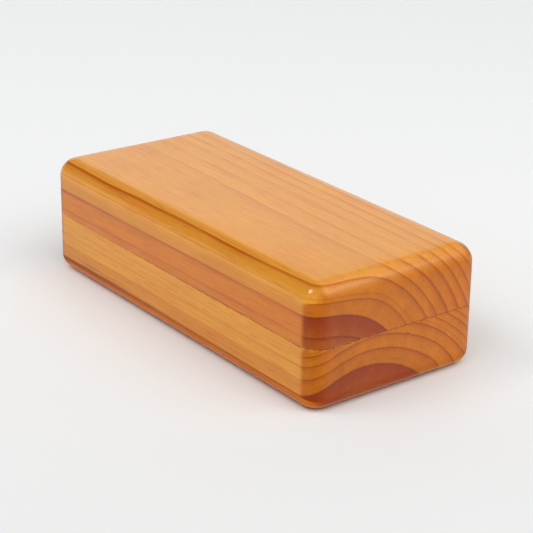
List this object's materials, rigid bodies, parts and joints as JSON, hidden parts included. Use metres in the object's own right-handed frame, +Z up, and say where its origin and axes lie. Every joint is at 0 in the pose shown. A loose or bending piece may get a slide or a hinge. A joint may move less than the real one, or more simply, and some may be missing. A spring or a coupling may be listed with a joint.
{
  "type": "wooden box",
  "caption": "Small rounded pine box: two hollowed solid boards that meet at a fine seam, with a lid hinged at the back and hidden magnets.",
  "frame": {"origin": "centre of the flat underside of the wooden base, on the surface that the box stands on", "axes": "+X along the box's length, +Y towards the back, where the hinges are, +Z up towards the lid"},
  "size_m": [0.225, 0.1051, 0.0625],
  "materials": {
    "pine": "warm orange pine, clear satin to gloss lacquer over sanded wood",
    "brass": "lightly brushed, with a little tarnish",
    "nickel": "nickel plate",
    "felt": "dark red wool felt"
  },
  "bodies": {
    "base": {"base_shell": "pine", "base_lining": "felt", "base_magnet_left": "nickel", "base_magnet_right": "nickel", "left_hinge_base_leaf": "brass", "left_hinge_pin": "brass", "left_hinge_base_screw_1": "brass", "left_hinge_base_screw_2": "brass", "right_hinge_base_leaf": "brass", "right_hinge_pin": "brass", "right_hinge_base_screw_1": "brass", "right_hinge_base_screw_2": "brass"},
    "lid": {"lid_shell": "pine", "lid_lining": "felt", "lid_magnet_left": "nickel", "lid_magnet_right": "nickel", "left_hinge_lid_leaf": "brass", "left_hinge_lid_screw_1": "brass", "left_hinge_lid_screw_2": "brass", "right_hinge_lid_leaf": "brass", "right_hinge_lid_screw_1": "brass", "right_hinge_lid_screw_2": "brass"}
  },
  "joints": [
    {"name": "lid_hinge", "type": "hinge", "parent": "base", "child": "lid", "pos_m": [0, 0.0527, 0.0322], "axis": [-1, 0, 0], "range_deg": [0, 180]}
  ]
}
